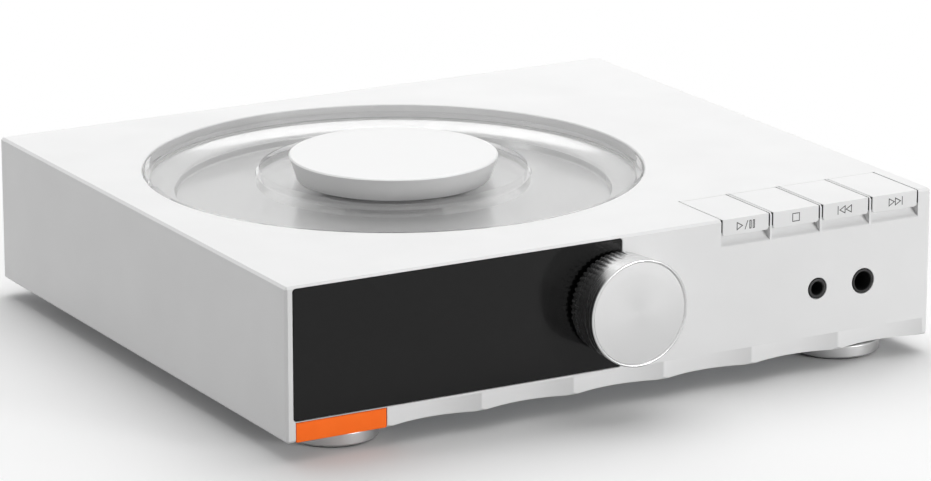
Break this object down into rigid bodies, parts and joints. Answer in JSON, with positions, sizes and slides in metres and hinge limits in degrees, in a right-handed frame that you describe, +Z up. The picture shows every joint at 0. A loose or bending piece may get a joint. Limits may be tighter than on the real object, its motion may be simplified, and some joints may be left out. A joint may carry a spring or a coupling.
{
  "type": "cd player",
  "caption": "Top-loading disc player with a lift-off clear cover, a ribbed knob, a dark display, press keys and a working rack-driven laser sled.",
  "frame": {"origin": "centre of the outline's footprint, on the surface that the feet rest on", "axes": "+Z up, -Y towards the front with the keys and knob, +X to the right seen from the front"},
  "size_m": [0.242, 0.2396, 0.0613],
  "materials": {
    "silver_paint": "fine satin silver-white paint",
    "window_glass": "polished black window",
    "orange_plate": "satin orange paint",
    "clear_acrylic": "polished clear acrylic",
    "turned_aluminium": "fine turned, clear anodised",
    "steel": "bright drawn steel",
    "zinc_sheet": "zinc plated sheet",
    "black_plastic": "fine spark texture",
    "acetal": "natural moulded",
    "rubber": "moulded",
    "lens": "coated lens",
    "board": "solder mask",
    "ferrite": "pressed ferrite"
  },
  "bodies": {
    "case": {"housing": "silver_paint", "disc_well": "silver_paint", "display_window": "window_glass", "badge_plate": "orange_plate", "foot_front_left": "turned_aluminium", "foot_front_right": "turned_aluminium", "foot_back_left": "turned_aluminium", "foot_back_right": "turned_aluminium", "spindle_motor": "steel", "feed_motor": "steel", "guide_rod_left": "steel", "guide_rod_right": "steel", "key_rod": "steel", "usb_socket": "steel", "base_plate": "zinc_sheet", "rear_panel": "zinc_sheet", "traverse_deck": "zinc_sheet", "key_bracket": "zinc_sheet", "encoder_body": "zinc_sheet", "display_module": "black_plastic", "socket_large": "black_plastic", "socket_small": "black_plastic", "line_sockets": "black_plastic", "optical_socket": "black_plastic", "mains_inlet": "black_plastic", "switch_frame": "black_plastic", "foot_pad_front_left": "rubber", "foot_pad_front_right": "rubber", "foot_pad_back_left": "rubber", "foot_pad_back_right": "rubber", "deck_damper_1": "rubber", "deck_damper_2": "rubber", "deck_damper_3": "rubber", "deck_damper_4": "rubber", "key_board": "board", "socket_board": "board", "main_board": "board", "power_board": "board"},
    "cover_body": {"cover": "clear_acrylic", "cover_knob": "turned_aluminium"},
    "clamp_body": {"disc_clamp": "black_plastic", "clamp_magnet": "ferrite"},
    "turntable": {"turntable_hub": "black_plastic"},
    "sled": {"pickup_sled": "black_plastic"},
    "lens": {"pickup_lens": "lens"},
    "gear": {"feed_gear": "acetal"},
    "pinion": {"feed_pinion": "acetal"},
    "push": {"encoder_push": "black_plastic"},
    "knob": {"volume_knob": "turned_aluminium", "encoder_shaft": "steel"},
    "rocker": {"power_rocker": "black_plastic"},
    "key_play": {"key_play": "silver_paint"},
    "stem_play": {"key_stem_play": "black_plastic"},
    "key_stop": {"key_stop": "silver_paint"},
    "stem_stop": {"key_stem_stop": "black_plastic"},
    "key_previous": {"key_previous": "silver_paint"},
    "stem_previous": {"key_stem_previous": "black_plastic"},
    "key_next": {"key_next": "silver_paint"},
    "stem_next": {"key_stem_next": "black_plastic"}
  },
  "joints": [
    {"name": "cover_lift", "type": "slide", "parent": "case", "child": "cover_body", "axis": [0, 0, 1], "range_m": [0, 0.03]},
    {"name": "turntable_turn", "type": "hinge", "parent": "case", "child": "turntable", "pos_m": [-0.0208, 0.0107, 0.0568], "axis": [0, 0, 1], "continuous": true},
    {"name": "clamp_turn", "type": "hinge", "parent": "cover_body", "child": "clamp_body", "pos_m": [-0.0208, 0.0107, 0.0568], "axis": [0, 0, 1], "continuous": true},
    {"name": "sled_travel", "type": "slide", "parent": "case", "child": "sled", "axis": [0, 1, 0], "range_m": [0, 0.035]},
    {"name": "lens_focus", "type": "slide", "parent": "sled", "child": "lens", "axis": [0, 0, 1], "range_m": [-0.0004, 0.0005], "stiffness_N_per_m": 60},
    {"name": "gear_turn", "type": "hinge", "parent": "case", "child": "gear", "pos_m": [0.008, 0.0507, 0.03], "axis": [0, 0, -1], "range_deg": [0, 418]},
    {"name": "pinion_turn", "type": "hinge", "parent": "case", "child": "pinion", "pos_m": [0.02158, 0.03712, 0.0305], "axis": [0, 0, 1], "range_deg": [0, 1254]},
    {"name": "knob_push", "type": "slide", "parent": "case", "child": "push", "axis": [0, 1, 0], "range_m": [0, 0.0006], "stiffness_N_per_m": 3000},
    {"name": "knob_turn", "type": "hinge", "parent": "push", "child": "knob", "pos_m": [-0.0025, -0.1032, 0.0355], "axis": [0, -1, 0], "continuous": true},
    {"name": "rocker_turn", "type": "hinge", "parent": "case", "child": "rocker", "pos_m": [0.065, 0.10855, 0.028], "axis": [0, 0, 1], "range_deg": [0, 16]},
    {"name": "key_play_press", "type": "hinge", "parent": "case", "child": "key_play", "pos_m": [0.04772, -0.0802, 0.0494], "axis": [1, 0, 0], "range_deg": [0, 2.2], "stiffness_Nm_per_rad": 0.6},
    {"name": "stem_play_slide", "type": "slide", "parent": "case", "child": "stem_play", "axis": [0, 0, -1], "range_m": [0, 0.0005]},
    {"name": "key_stop_press", "type": "hinge", "parent": "case", "child": "key_stop", "pos_m": [0.06728, -0.0802, 0.0494], "axis": [1, 0, 0], "range_deg": [0, 2.2], "stiffness_Nm_per_rad": 0.6},
    {"name": "stem_stop_slide", "type": "slide", "parent": "case", "child": "stem_stop", "axis": [0, 0, -1], "range_m": [0, 0.0005]},
    {"name": "key_previous_press", "type": "hinge", "parent": "case", "child": "key_previous", "pos_m": [0.08682, -0.0802, 0.0494], "axis": [1, 0, 0], "range_deg": [0, 2.2], "stiffness_Nm_per_rad": 0.6},
    {"name": "stem_previous_slide", "type": "slide", "parent": "case", "child": "stem_previous", "axis": [0, 0, -1], "range_m": [0, 0.0005]},
    {"name": "key_next_press", "type": "hinge", "parent": "case", "child": "key_next", "pos_m": [0.10637, -0.0802, 0.0494], "axis": [1, 0, 0], "range_deg": [0, 2.2], "stiffness_Nm_per_rad": 0.6},
    {"name": "stem_next_slide", "type": "slide", "parent": "case", "child": "stem_next", "axis": [0, 0, -1], "range_m": [0, 0.0005]}
  ],
  "couplings": [
    {"joint": "clamp_turn", "follows": "turntable_turn", "ratio": 1},
    {"joint": "gear_turn", "follows": "sled_travel", "rad_per_m": 208.33},
    {"joint": "pinion_turn", "follows": "sled_travel", "rad_per_m": 625},
    {"joint": "stem_play_slide", "follows": "key_play_press", "m_per_rad": 0.012},
    {"joint": "stem_stop_slide", "follows": "key_stop_press", "m_per_rad": 0.012},
    {"joint": "stem_previous_slide", "follows": "key_previous_press", "m_per_rad": 0.012},
    {"joint": "stem_next_slide", "follows": "key_next_press", "m_per_rad": 0.012}
  ]
}
